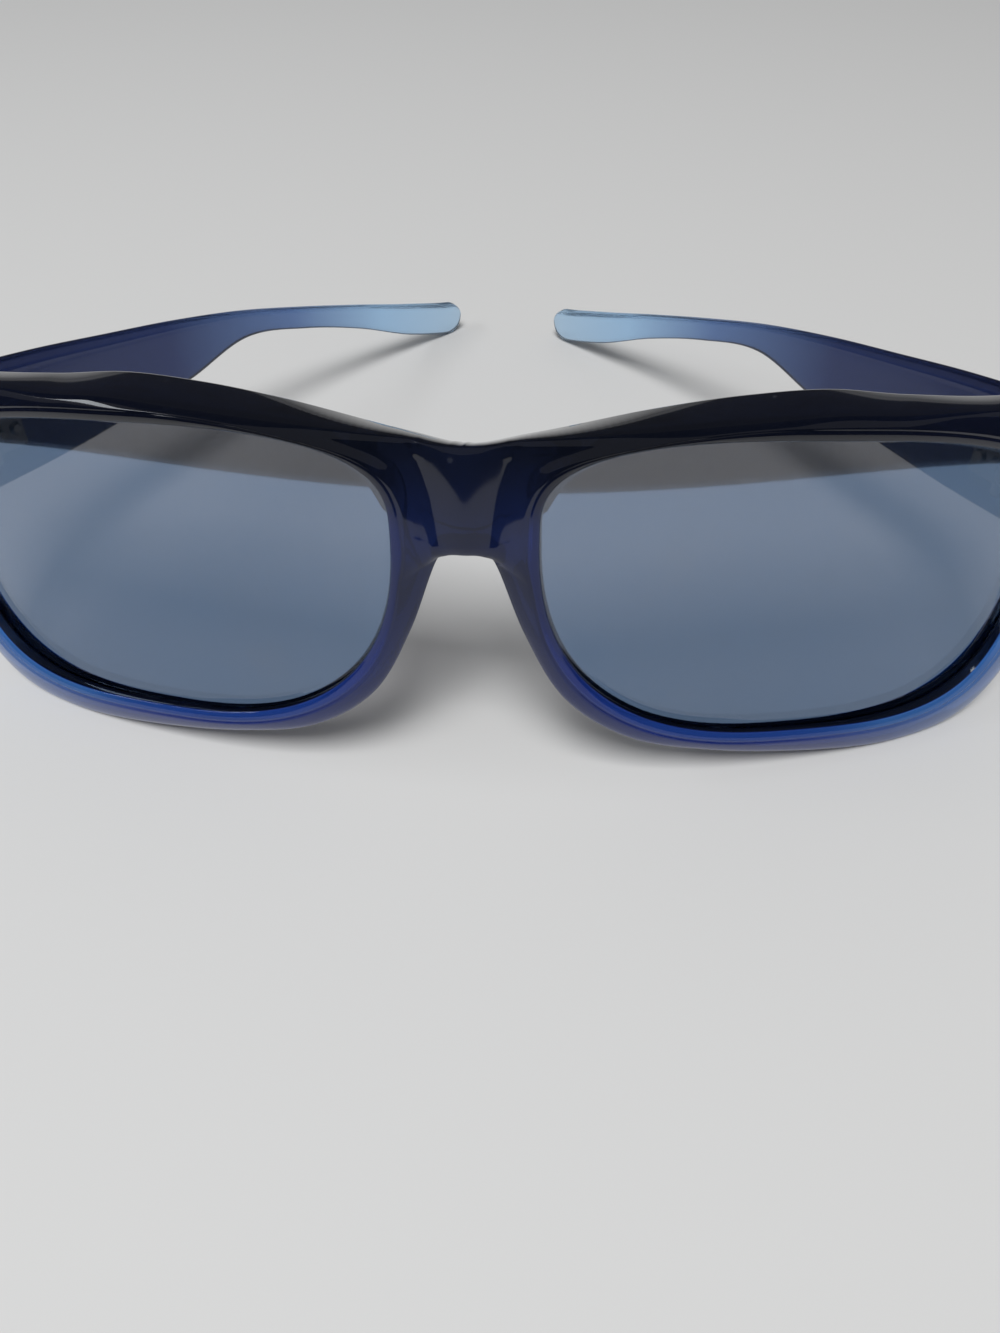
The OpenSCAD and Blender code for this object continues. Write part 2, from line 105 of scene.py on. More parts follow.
# Rows of the rim every 15 degrees from the outer side over the brow, down the nose and back along
# the lower rim: outer edge outwards and up from the opening, rear edge outwards and up from the
# outer edge, depths of the rear and outer edges, wall, how far the ring round the lens stands
# forward, and how light the plastic is painted there. That lightness is partly the plastic's own
# blue, and at the light lower outer corners a painted glow of light inside the plastic.
row_angle, bridge_first, bridge_last = 15.0, 10, 12
wall_rows = (bridge_first - 2, bridge_last + 1)
rolled = edge_roll - face_crown
solid = 12.0
mirror_dx = [-opening(np.array(row * row_angle))[0] for row in range(bridge_first, bridge_last + 1)]
rim_rows = np.array([
    [side_reach, 0.1, side_flare, 0.0, side_depth, rolled, side_wall, 0.1, 0.60],
    [6.4, 1.3, 0.6, 0.8, side_depth, rolled, side_wall, 0.0, 0.35],
    [6.0, 2.6, 2.4, 0.5, side_depth, rolled, side_wall, 0.0, 0.15],
    [4.8, 4.0, 3.5, -0.5, 9.5, rolled, side_wall, 0.0, 0.10],
    [2.3, 3.4, 1.5, -1.15, 7.8, rolled, rim_wall, 0.0, 0.08],
    [0.7, 2.6, 0.5, -0.6, 8.0, rolled, rim_wall, 0.0, 0.06],
    [0.0, 2.5, 0.0, -0.3, 8.8, rolled, rim_wall, 0.0, 0.04],
    [-1.0, 1.7, 0.0, -0.3, 9.1, rolled, rim_wall, 0.0, 0.03],
    [-3.0, 1.2, 0.0, -1.0, 9.1, 1.3, rim_wall, 0.0, 0.02],
    [-8.2, 1.4, 0.0, -2.6, 8.8, 1.6, 6.0, 0.0, 0.02],
    [mirror_dx[0], 3.3, 0.0, -3.2, bridge_depth, 1.7, solid, 0.0, 0.07],
    [mirror_dx[1], -1.5, 0.0, 0.0, bridge_depth, 1.2, solid, 0.0, 0.15],
    [mirror_dx[2], -3.1, 0.0, -0.2, bridge_depth, 0.2, 8.0, 0.0, 0.22],
    [-5.5, 3.4, 0.8, -0.4, 7.6, rolled, 3.0, 0.0, 0.20],
    [-3.9, 0.8, 1.5, -0.2, 6.8, rolled, rim_wall, 0.0, 0.24],
    [-3.4, -2.1, 1.5, 0.6, 5.6, rolled, rim_wall, 0.05, 0.32],
    [-2.1, -3.6, 1.0, 1.0, 5.0, rolled, rim_wall, 0.1, 0.38],
    [-0.4, -3.8, 0.4, 0.9, 4.8, rolled, rim_wall, 0.15, 0.40],
    [0.2, -4.4, 0.0, 0.8, 4.8, rolled, rim_wall, 0.2, 0.42],
    [1.0, -5.2, 0.2, 1.0, 5.0, rolled, rim_wall, 0.3, 0.50],
    [3.0, -6.2, 1.0, 2.2, 6.0, rolled, rim_wall, 0.6, 0.75],
    [4.9, -6.4, 2.7, 8.0, 8.6, rolled, side_wall, 0.8, 1.00],
    [5.8, -3.8, 1.4, 10.0, side_depth, rolled, side_wall, 0.6, 1.00],
    [6.2, -1.3, 0.6, 4.0, side_depth, rolled, side_wall, 0.3, 0.80]])


def smooth_between(p, f):
    """Cubic between the middle two of four values in a row, at the share f of the way. Its slope at
    each end is that of the straight line between the neighbours on both sides."""
    return p[1] + 0.5 * f * (p[2] - p[0] + f * (2 * p[0] - 5 * p[1] + 4 * p[2] - p[3]
                             + f * (3 * (p[1] - p[2]) + p[3] - p[0])))


def along_rim(column, s):
    """A column of the rows at the place s, in rows: a smooth cubic through four neighbours."""
    i = np.floor(s).astype(int)
    p = [rim_rows[(i + j) % len(rim_rows), column] for j in (-1, 0, 1, 2)]
    return smooth_between(p, s - i)


def outer_edge(s):
    """Outer edge of the rim in the flat. It meets the mirror plane level at the brow, by a cubic
    that starts with the rim's own slope, runs down that plane on the bridge, and leaves it level
    for the arch over the nose, by the cube of the way."""
    def height(at):
        return opening(at * row_angle)[..., 1] + along_rim(1, at)
    step, before = 0.01, np.array(bridge_first - 1.0)
    z0 = height(before)
    rise, slope = height(before + 1) - z0, (z0 - height(before - step)) / step
    f = s - before
    z = np.where((f > 0) & (f < 1), z0 + slope * f * (1 - f) ** 2 + rise * f * f * (3 - 2 * f),
                 height(s))
    f = s - bridge_last
    ends = [np.array(bridge_last + end) for end in (0.0, 1.0)]
    x_end = opening(ends[1] * row_angle)[0] + along_rim(0, ends[1])
    z = np.where((f > 0) & (f < 1),
                 height(ends[0]) + (height(ends[1]) - height(ends[0])) * f ** 3, z)
    x = opening(s * row_angle)[:, 0] + along_rim(0, s)
    x = np.where((f > 0) & (f < 1), x_end * f, np.maximum(0, x))
    on_bridge = (s >= bridge_first) & (s <= bridge_last)
    return np.stack([np.where(on_bridge, 0, x), z], -1)


# The face: a narrow ring round the lens, a crease, and beyond it a roll to the outer edge. On the
# bridge a block shaped like the bow of a boat stands out from a shallow valley.
row_stations = 16
ring_w, ring_rise, crease_w, crease_t, edge_round = 1.35, 0.45, 0.2, 0.22, 0.25
ring_at = np.array([0, 0.05, 0.12, 0.25, 0.5, 0.72, 0.82, 0.91, 1])
face_steps, face_crowding = 34, 0.8
inner_edge, roll_limit, arch_roll, edge_drop = 0.3, 6.5, 1.2, 0.5
valley_rows, valley_fades = (8, bridge_last + 3), (2, 4)
valley_t, valley_w, valley_top, top_slope = 0.38, 2.6, 1.45, 0.18
bow_w, bow_side, bow_front, bow_slope, bow_soft = (2.0, 4.6), 1.3, -0.60, 0.30, 1.2
bow_top, bow_blend = 0.30, 0.12


def rolled_off(away, width):
    """Share of a roll that is reached at a distance from the edge: the mean of a straight slope and
    a quarter of an ellipse, which ends square to the face."""
    near = 1 - np.clip(away / width, 0, 1)
    return 0.5 * near + 0.5 * (1 - np.sqrt(1 - near ** 2))


def higher_of(a, b):
    """The greater of two depths, with the corner between them rounded, by a hyperbola."""
    return (a + b + np.sqrt((a - b) ** 2 + bow_blend ** 2)) / 2


def rim_face(s):
    """Face of the rim from the opening to the outer edge, as depth over a point in the flat. The
    roll follows the true distance from the brow's edge, and below the bridge from the arch's or
    the lower rim's edge. The bow is the rearmost of a top that slopes forward as it falls and two
    sides that fall back from a rounded stem, depth = front + slope * sqrt(x^2 + soft^2)."""
    inner, outer = opening(s * row_angle), outer_edge(s)
    span = np.linalg.norm(outer - inner, axis=1)[:, None]
    steps = np.linspace(0, 1, face_steps)[1:]
    turn = face_crowding * np.sin(steps * np.pi / 2) + (1 - face_crowding) * steps
    d = np.concatenate([ring_w * ring_at + 0 * span, ring_w + (span - ring_w) * turn], 1)
    flat = inner[:, None] + (outer - inner)[:, None] * (d / span)[..., None]
    x, z = flat[..., 0], flat[..., 1]

    def distance(first, last):
        line = outer_edge(np.linspace(first, last, (last - first) * row_stations + 1))
        leg, away = line[1:] - line[:-1], flat[:, :, None] - line[:-1]
        along = np.clip((away * leg).sum(-1) / (leg ** 2).sum(-1), 0, 1)
        return np.sqrt(((away - leg * along[..., None]) ** 2).sum(-1).min(-1))
    to_brow, to_arch = distance(0, bridge_first), distance(bridge_last, len(rim_rows))
    crease = len(ring_at) - 1
    brow_w = np.minimum(to_brow[:, crease:crease + 1], roll_limit)
    place = s[:, None]
    off_arch = np.clip(place - bridge_last, 0, 1)
    arch_w = to_arch[:, crease:crease + 1] * off_arch + arch_roll * (1 - off_arch)
    ring_end = inner_edge - ring_rise - along_rim(7, s)[:, None]
    edge = along_rim(5, s)[:, None]
    brow_edge = np.where(place < bridge_first, edge, rim_rows[bridge_first, 5]) - ring_end
    arch_edge = (edge - ring_end) * off_arch + edge_drop * (1 - off_arch)
    to_top = np.where(place < bridge_last, brow_edge * rolled_off(to_brow, brow_w), 0)
    to_low = np.where(place > bridge_last - 1, arch_edge * rolled_off(to_arch, arch_w), 0)
    brow_z, arch_z = outer_edge(np.array([bridge_first, bridge_last]))[:, 1]
    h = np.clip((z - arch_z) / (brow_z - arch_z), 0, 1)
    on_bridge = (np.clip((place - valley_rows[0]) / valley_fades[0], 0, 1)
                 * np.clip((valley_rows[1] - place) / valley_fades[1], 0, 1))
    dip = np.clip((d - ring_w) / valley_w, 0, 1)
    brow_roll = edge_drop * rolled_off(to_brow, arch_roll)
    valley = higher_of(ring_end + valley_t + to_low, valley_top - top_slope * to_brow) + brow_roll
    plain = ring_end + to_top + to_low
    valley = plain + (valley - plain) * on_bridge * dip * dip * (3 - 2 * dip)
    half = bow_w[0] + (bow_w[1] - bow_w[0]) * h
    t = np.clip((half + bow_side - x) / bow_side, 0, 1) * (on_bridge > 0)
    sides = bow_front + bow_slope * np.sqrt(x * x + bow_soft ** 2)
    bow = higher_of(sides, bow_top - top_slope * to_brow) + brow_roll
    bow = bow + edge_drop * rolled_off(to_arch, arch_roll)
    depth = valley + (bow - valley) * t * t * (3 - 2 * t)
    on_ring = inner_edge - along_rim(7, s)[:, None] - ring_rise * d / ring_w
    depth = np.where(d <= ring_w, on_ring, depth)
    depth = depth + crease_t * np.exp(-((d - ring_w) / crease_w) ** 2)
    depth = depth + edge_round * np.clip(1 - d / edge_round, 0, 1) ** 2
    return wrapped(x, z, depth)


def rim_back(s):
    """Eight corners of the rim's section behind the face, between its two ends: round the rear
    edge, forward along the inside wall, over the lip behind the lens and into its groove. By the
    bridge the wall is measured straight towards the opening."""
    inner, outer = opening(s * row_angle), outer_edge(s)
    span = np.linalg.norm(outer - inner, axis=1)
    across = (outer - inner) / span[:, None]
    on_bridge = (s >= bridge_first) & (s <= bridge_last)
    rear = np.stack([np.where(on_bridge, 0, np.maximum(0, outer[:, 0] + along_rim(2, s))),
                     outer[:, 1] + along_rim(3, s)], -1)
    front_y = wrapped(outer[:, 0], 0, 0)[:, 1]
    rear_y = np.minimum(end_y, front_y + along_rim(4, s))
    wall = np.minimum(along_rim(6, s), span - rear_lip)
    deep = lens_inset + lens_t + groove_play
    seat = deep + lip_t
    drawn = span + np.minimum(0, ((rear - outer) * across).sum(1) * (seat - rolled)
                              / (rear_y - front_y))
    groove = inner + outward(s * row_angle) * groove_depth

    def at(distance, depth):
        q = inner + across * (distance + 0 * s)[:, None]
        return wrapped(q[:, 0], q[:, 1], depth)
    rear_span = np.linalg.norm(rear - inner, axis=1)
    toward = (rear - inner) / rear_span[:, None]
    by_bridge = np.clip(s - wall_rows[0], 0, 1) * np.clip(wall_rows[1] - s, 0, 1)
    inward = across + (toward - across) * by_bridge[:, None]
    inward = -inward * np.minimum(wall, rear_span - rear_lip)[:, None]
    rear_outer = np.stack([rear[:, 0], rear_y, rear[:, 1]], -1)
    rear_inner = rear_outer + np.stack([inward[:, 0], 0 * wall, inward[:, 1]], -1)
    return np.stack([
        rear_outer, rear_inner, at(np.maximum(rear_lip, drawn - wall), seat),
        at(0, seat - lip_bevel), at(0, deep), wrapped(groove[:, 0], groove[:, 1], deep),
        wrapped(groove[:, 0], groove[:, 1], lens_inset - groove_play),
        at(0, lens_inset - groove_play)], 1)


def round_corners(corners, radius, samples):
    """Rounds the inner corners of open sections. A corner becomes the parabola between the points
    that lie radius away from it on its two sides, or halfway along a side that is shorter."""
    middle, least_side = corners[:, 1:-1], 1e-9
    before, after = corners[:, :-2] - middle, corners[:, 2:] - middle
    sides = [np.maximum(np.linalg.norm(v, axis=-1), least_side) for v in (before, after)]
    share = [np.minimum(0.5, radius / side)[..., None] for side in sides]
    start, end = middle + before * share[0], middle + after * share[1]
    t = np.linspace(0, 1, samples)[:, None]
    curve = (start[:, :, None] * (1 - t) ** 2 + 2 * middle[:, :, None] * t * (1 - t)
             + end[:, :, None] * t ** 2)
    return curve.reshape(len(corners), -1, 3)


def grid_faces(rows, columns, close_rows, close_columns):
    """Quads between neighbours on a grid of points, joined round where it is closed."""
    i = np.arange(rows if close_rows else rows - 1)[:, None]
    j = np.arange(columns if close_columns else columns - 1)[None, :]
    corners = [(i, j), (i + 1, j), (i + 1, j + 1), (i, j + 1)]
    return np.stack([(a % rows) * columns + (b % columns) for a, b in corners], -1).reshape(-1, 4)


def add_object(name, data):
    """New object in the scene that holds a mesh, a lamp or a camera."""
    thing = bpy.data.objects.new(name, data)
    bpy.context.scene.collection.objects.link(thing)
    return thing


def make_piece(name, points, faces, merge=2e-6, **values):
    """Mesh object from arrays of points in metres and quads, with any values stored on the points.
    Points that meet are merged, and the faces are turned outwards by the sign of the volume."""
    mesh = bpy.data.meshes.new(name)
    mesh.from_pydata(points, [], faces.tolist())
    for key, value in values.items():
        mesh.attributes.new(key, "FLOAT", "POINT").data.foreach_set("value", value)
    bm = bmesh.new()
    bm.from_mesh(mesh)
    bmesh.ops.remove_doubles(bm, verts=bm.verts, dist=merge)
    bmesh.ops.dissolve_degenerate(bm, edges=bm.edges, dist=merge / 4)
    bmesh.ops.recalc_face_normals(bm, faces=bm.faces)
    if bm.calc_volume(signed=True) < 0:
        bmesh.ops.reverse_faces(bm, faces=bm.faces)
    bm.to_mesh(mesh)
    bm.free()
    mesh.polygons.foreach_set("use_smooth", np.ones(len(mesh.polygons), bool))
    return add_object(name, mesh)


# The radii are those of the back's eight corners, in order. The first corner, the outer rear edge,
# is rounded by a bevel instead. From the lip's corner on, round the groove behind the lens, and on
# the edge at the opening, the surface has painted shade, and the ring round the lens is painted
# lighter, a painted reflection.
rim_stations, corner_samples, painted_groove_shade, painted_ring_reflection = row_stations * len(rim_rows), 5, 0.03, 0.4
back_radius = np.array([0.0, 0.7, 0.6, 0.3, 0.1, 0.12, 0.12, 0.1])
lip_corner, mirror_play, merged_play = 3, 1e-9, 1e-7
places = np.arange(rim_stations) * len(rim_rows) / rim_stations
face = rim_face(places)
back = rim_back(places)
chain = np.concatenate([face[:, -1:], back, face[:, :1]], 1)
skin = np.concatenate([face, round_corners(chain, back_radius, corner_samples)], 1)
skin_m = stand(skin)
skin_m[..., 2] = np.maximum(skin_m[..., 2], 0)
section_n, face_n = skin.shape[1], face.shape[1]
half_points = skin_m.reshape(-1, 3)
half_faces = grid_faces(rim_stations, section_n, True, True)
in_mirror = (np.abs(half_points[half_faces][..., 0]) < mirror_play).all(1)
half_faces = half_faces[~in_mirror]
front_points = np.vstack([half_points, half_points * [-1, 1, 1]])
front_faces = np.vstack([half_faces, half_faces[:, ::-1] + len(half_points)])
# Lightness of the plastic round the rim, with a painted glow of light inside it at the lower outer
# corners.
lightness_and_glow = np.repeat(along_rim(8, places)[:, None], section_n, 1)
# The ring round the lens is painted lighter: a painted reflection of the floor.
lightness_and_glow[:, :len(ring_at) - 1] *= 1 + painted_ring_reflection
# Painted shade from the lip's corner on, round the groove, and on the edge at the opening.
lightness_and_glow[:, face_n + lip_corner * corner_samples:] = painted_groove_shade
lightness_and_glow[:, 0] = painted_groove_shade
is_rear_edge = np.zeros((rim_stations, section_n))
is_rear_edge[:, face_n:face_n + corner_samples] = 1
front = make_piece("front", front_points, front_faces, tint=np.tile(lightness_and_glow.ravel(), 2),
                   rear_edge=np.tile(is_rear_edge.ravel(), 2))
edge_ends = np.zeros(len(front.data.edges) * 2, int)
front.data.edges.foreach_get("vertices", edge_ends)
edge_ends = edge_ends.reshape(-1, 2)
marked = np.zeros(len(front.data.vertices))
front.data.attributes["rear_edge"].data.foreach_get("value", marked)
place_x = np.zeros(len(front.data.vertices) * 3)
front.data.vertices.foreach_get("co", place_x)
off_mirror = np.abs(place_x[::3]) > merged_play
rounded = (marked[edge_ends] > 0.5).all(1) & off_mirror[edge_ends].any(1)
front.data.attributes.new("bevel_weight_edge", "FLOAT", "EDGE").data.foreach_set(
    "value", rounded.astype(float))


def add_block(piece, corner_low, corner_high, bevel, side, tint, turn=None):
    """Adds a block with rounded edges to a piece. It is given in the front's axes for the left
    side, and turn moves its points before the front is leaned back."""
    bm = bmesh.new()
    bmesh.ops.create_cube(bm, size=1)
    low, high = np.array(corner_low), np.array(corner_high)
    for v in bm.verts:
        v.co = (low + high) / 2 + np.array(v.co) * (high - low)
    bmesh.ops.bevel(bm, geom=bm.edges, offset=bevel, segments=3, profile=0.5, affect="EDGES")
    co = np.array([v.co for v in bm.verts])
    if turn is not None:
        co = turn(co)
    for v, place in zip(bm.verts, stand(co * [side, 1, 1])):
        v.co = place
    if side < 0:
        bmesh.ops.reverse_faces(bm, faces=bm.faces)
    layer = bm.verts.layers.float.new("tint")
    for v in bm.verts:
        v[layer] = tint
    for f in bm.faces:
        f.smooth = True
    bm.from_mesh(piece.data)
    bm.to_mesh(piece.data)
    bm.free()


pad_reach = (butt_gap / 2, leaf_l + pad_margin)
pad_bevel, pad_tint, rear_round = 0.35, 0.15, 0.7
for side in SIDES.values():
    add_block(front, (pad_x, hinge_y - pad_reach[1], hinge_z - pad_h / 2),
              (pad_x + pad_t, hinge_y - pad_reach[0], hinge_z + pad_h / 2), pad_bevel, side,
              pad_tint)
rear_rounding = front.modifiers.new("rear_edge", "BEVEL")
rear_rounding.limit_method = "WEIGHT"
rear_rounding.width = rear_round * MM
rear_rounding.segments = 4
rear_rounding.use_clamp_overlap = False


def new_group(name, inputs, outputs):
    """Empty shader node group with named inputs, each with its default, and named outputs."""
    group = bpy.data.node_groups.new(name, "ShaderNodeTree")
    for label, kind, default in inputs:
        group.interface.new_socket(label, in_out="INPUT", socket_type=kind).default_value = default
    for label, kind in outputs:
        group.interface.new_socket(label, in_out="OUTPUT", socket_type=kind)
    return group, group.nodes.new("NodeGroupInput"), group.nodes.new("NodeGroupOutput")


def add_node(tree, kind, settings=None, **sockets):
    """Node of a kind with its settings, and sockets given by name as a value or another socket."""
    node = tree.nodes.new(kind)
    for key, value in (settings or {}).items():
        setattr(node, key, value)
    for key, value in sockets.items():
        socket = node.inputs[key.replace("_", " ")]
        if isinstance(value, bpy.types.NodeSocket):
            tree.links.new(value, socket)
        else:
            socket.default_value = value
    return node


# Polished plastic: a few specks of lint, wear that dulls it in patches, and the faint waviness
# that moulding leaves. Inputs 6 and 7 of a Mix node are its colours, and output 2 their mix.
LINT, wear_roughness = (0.5, 0.52, 0.56, 1), 0.05
polish, polish_in, polish_out = new_group(
    "polished_surface",
    [("Color", "NodeSocketColor", (0.1, 0.1, 0.1, 1)), ("Gloss", "NodeSocketFloat", 0.08),
     ("Lint", "NodeSocketFloat", 0.3), ("Waviness", "NodeSocketFloat", 0.1)],
    [("Color", "NodeSocketColor"), ("Roughness", "NodeSocketFloat"), ("Normal", "NodeSocketVector")])
where = add_node(polish, "ShaderNodeTexCoord").outputs["Object"]
specks = add_node(polish, "ShaderNodeTexVoronoi", {"feature": "F1"}, Vector=where, Scale=260.0)
speck_mask = add_node(polish, "ShaderNodeMapRange", None, Value=specks.outputs["Distance"])
speck_mask.inputs["From Min"].default_value = 0.10
speck_mask.inputs["From Max"].default_value = 0.04
patches = add_node(polish, "ShaderNodeTexNoise", None, Vector=where, Scale=60.0, Detail=4.0)
patch_mask = add_node(polish, "ShaderNodeMapRange", None, Value=patches.outputs["Fac"])
patch_mask.inputs["From Min"].default_value = 0.5
patch_mask.inputs["From Max"].default_value = 0.72
rare = add_node(polish, "ShaderNodeMath", {"operation": "MULTIPLY"})
polish.links.new(speck_mask.outputs["Result"], rare.inputs[0])
polish.links.new(patch_mask.outputs["Result"], rare.inputs[1])
lint = add_node(polish, "ShaderNodeMath", {"operation": "MULTIPLY"})
polish.links.new(rare.outputs[0], lint.inputs[0])
polish.links.new(polish_in.outputs["Lint"], lint.inputs[1])
dusted = add_node(polish, "ShaderNodeMix", {"data_type": "RGBA"})
polish.links.new(lint.outputs[0], dusted.inputs["Factor"])
polish.links.new(polish_in.outputs["Color"], dusted.inputs[6])
dusted.inputs[7].default_value = LINT
dulled = add_node(polish, "ShaderNodeMath", {"operation": "MULTIPLY_ADD"})
polish.links.new(patches.outputs["Fac"], dulled.inputs[0])
dulled.inputs[1].default_value = wear_roughness
polish.links.new(polish_in.outputs["Gloss"], dulled.inputs[2])
waves = add_node(polish, "ShaderNodeTexNoise", None, Vector=where, Scale=110.0, Detail=1.0)
wavy = add_node(polish, "ShaderNodeBump", None, Height=waves.outputs["Fac"],
                Strength=polish_in.outputs["Waviness"], Distance=0.0002)
polish.links.new(dusted.outputs[2], polish_out.inputs["Color"])
polish.links.new(dulled.outputs[0], polish_out.inputs["Roughness"])
polish.links.new(wavy.outputs["Normal"], polish_out.inputs["Normal"])


def new_material(name):
    """Material with its tree and its Principled shader."""
    material = bpy.data.materials.new(name)
    material.use_nodes = True
    return material, material.node_tree, material.node_tree.nodes["Principled BSDF"]


def join_surface(tree, surface, shader):
    """Feeds a surface group's colour, roughness and normal to a shader."""
    for key, output in (("Base Color", "Color"), ("Roughness", "Roughness"), ("Normal", "Normal")):
        tree.links.new(surface.outputs[output], shader.inputs[key])


def polished(tree, shader, color, gloss, lint, waviness):
    """Places the polished surface group on a shader, on top of a colour that varies."""
    surface = add_node(tree, "ShaderNodeGroup", {"node_tree": polish}, Color=color, Gloss=gloss,
                       Lint=lint, Waviness=waviness)
    join_surface(tree, surface, shader)


def color_ramp(tree, factor, stops):
    """Colour ramp over a factor, from (place, colour) stops."""
    ramp = add_node(tree, "ShaderNodeValToRGB", None, Fac=factor)
    ramp.color_ramp.elements[0].position, ramp.color_ramp.elements[-1].position = 0, 1
    for place, color in stops[1:-1]:
        ramp.color_ramp.elements.new(place).color = (*color, 1)
    ramp.color_ramp.elements[0].color = (*stops[0][1], 1)
    ramp.color_ramp.elements[-1].color = (*stops[-1][1], 1)
    return ramp.outputs["Color"]


BLUES = [(0.0, (0.005, 0.007, 0.014)), (0.1, (0.007, 0.011, 0.032)), (0.2, (0.010, 0.019, 0.080)),
         (0.42, (0.014, 0.046, 0.330)), (0.7, (0.034, 0.120, 0.480)), (1.0, (0.070, 0.230, 0.660))]
front_material, tree, shader = new_material("navy_plastic")
tint_value = add_node(tree, "ShaderNodeAttribute", {"attribute_name": "tint"}).outputs["Fac"]
polished(tree, shader, color_ramp(tree, tint_value, BLUES), gloss=0.03, lint=0.25, waviness=0.06)
shader.inputs["Transmission Weight"].default_value = 0.6
shader.inputs["IOR"].default_value = 1.47
front.data.materials.append(front_material)
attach(front, "front")
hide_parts("front_frame")

# Lenses: each is a laminate of a clear outer layer, the polarizing film and an inner layer with
# a smoke tint, bent to the base curve and sprung into the rim's groove.
lens_bite = 0.45
lens_edge_round = 0.15
lens_around, lens_rings = 192, 28


def lens_points():
    """Lens as rings round its middle: a profile runs from the middle of the front face to the
    edge, round it and back to the middle of the rear face, and each ring is the outline scaled
    towards the middle at the profile's depth."""
    angle = np.arange(lens_around) * 360 / lens_around
    outline = opening(angle) + outward(angle) * lens_bite
    middle = np.array([lens_cx, lens_line_z + (lens_top_h - lens_low_h) / 2])
    out = np.linspace(0, 1, lens_rings)
    shrink = lens_edge_round / lens_nasal_w
    share = np.concatenate([out * (1 - shrink), [1, 1], out[::-1] * (1 - shrink)])
    depth = lens_inset + np.concatenate([np.zeros(lens_rings), [lens_edge_round,
                                        lens_t - lens_edge_round], np.full(lens_rings, lens_t)])
    flat = middle + (outline[:, None] - middle) * share[None, :, None]
    return wrapped(flat[..., 0], flat[..., 1], depth)


# The smoke tint takes most of the light, and a thin blue mirror coat on the faces throws some back.
# Light on its way to the floor passes two faces, so each takes the square root of the tint.
SMOKE, MIRROR_BLUE = (0.30, 0.295, 0.30), (0.27, 0.53, 0.95)
mirror_share, cloud_tone = 0.22, 0.94
lens_material, tree, shader = new_material("polarized_lens")
where = add_node(tree, "ShaderNodeTexCoord").outputs["Object"]
cloud = add_node(tree, "ShaderNodeTexNoise", None, Vector=where, Scale=45.0, Detail=3.0)
tone = color_ramp(tree, cloud.outputs["Fac"], [(0, tuple(cloud_tone * c for c in SMOKE)), (1, SMOKE)])
polished(tree, shader, tone, gloss=0.0, lint=0.15, waviness=0.0)
shader.inputs["Transmission Weight"].default_value = 1.0
shader.inputs["IOR"].default_value = 1.5
coat = add_node(tree, "ShaderNodeBsdfAnisotropic", None, Color=(*MIRROR_BLUE, 1), Roughness=0.03)
coated = add_node(tree, "ShaderNodeMixShader", None, Fac=mirror_share)
tree.links.new(shader.outputs[0], coated.inputs[1])
tree.links.new(coat.outputs[0], coated.inputs[2])
through = add_node(tree, "ShaderNodeBsdfTransparent", None, Color=(*(c ** 0.5 for c in SMOKE), 1))
is_shadow = add_node(tree, "ShaderNodeLightPath").outputs["Is Shadow Ray"]
mixed = add_node(tree, "ShaderNodeMixShader", None, Fac=is_shadow)
tree.links.new(coated.outputs[0], mixed.inputs[1])
tree.links.new(through.outputs[0], mixed.inputs[2])
tree.links.new(mixed.outputs[0], tree.nodes["Material Output"].inputs["Surface"])
lens_grid = lens_points()
lens_faces = grid_faces(*lens_grid.shape[:2], True, False)
for name, side in SIDES.items():
    points = stand(lens_grid * [side, 1, 1]).reshape(-1, 3)
    lens = make_piece(f"laminated_lens_{name}", points, lens_faces)
    lens.data.materials.append(lens_material)
    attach(lens, "front")
    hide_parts(f"lens_outer_layer_{name}", f"polarizing_film_{name}",
                f"lens_inner_layer_{name}")

# Hinges: stamped gunmetal leaves riveted to the plastic pads, three knuckles on a slotted
# screw, and two thin nylon washers. They stay the frame's own solids, with their real finishes.
WORN, grain_roughness = (0.72, 0.70, 0.68, 1), 0.18
metal, metal_in, metal_out = new_group(
    "satin_metal",
    [("Tone", "NodeSocketColor", (0.6, 0.6, 0.62, 1)), ("Scale", "NodeSocketFloat", 900.0),
     ("Roughness", "NodeSocketFloat", 0.3)],
    [("Color", "NodeSocketColor"), ("Roughness", "NodeSocketFloat"), ("Normal", "NodeSocketVector")])
where = add_node(metal, "ShaderNodeTexCoord").outputs["Object"]
brushed = add_node(metal, "ShaderNodeMapping", None, Vector=where, Scale=(1.0, 0.08, 1.0))
grain = add_node(metal, "ShaderNodeTexNoise", None, Vector=brushed.outputs[0],
                 Scale=metal_in.outputs["Scale"], Detail=3.0)
worn = add_node(metal, "ShaderNodeMix", {"data_type": "RGBA", "blend_type": "MULTIPLY"})
metal.links.new(grain.outputs["Fac"], worn.inputs["Factor"])
metal.links.new(metal_in.outputs["Tone"], worn.inputs[6])
worn.inputs[7].default_value = WORN
rough = add_node(metal, "ShaderNodeMath", {"operation": "MULTIPLY_ADD"})
metal.links.new(grain.outputs["Fac"], rough.inputs[0])
rough.inputs[1].default_value = grain_roughness
metal.links.new(metal_in.outputs["Roughness"], rough.inputs[2])
ridged = add_node(metal, "ShaderNodeBump", None, Height=grain.outputs["Fac"], Strength=0.15,
                  Distance=0.0001)
metal.links.new(worn.outputs[2], metal_out.inputs["Color"])
metal.links.new(rough.outputs[0], metal_out.inputs["Roughness"])
metal.links.new(ridged.outputs["Normal"], metal_out.inputs["Normal"])


def dress(nodes, material):
    """Gives the frame's own solids a material."""
    for node in nodes:
        mesh = frame["nodes"][node].data
        mesh.materials.clear()
        mesh.materials.append(material)


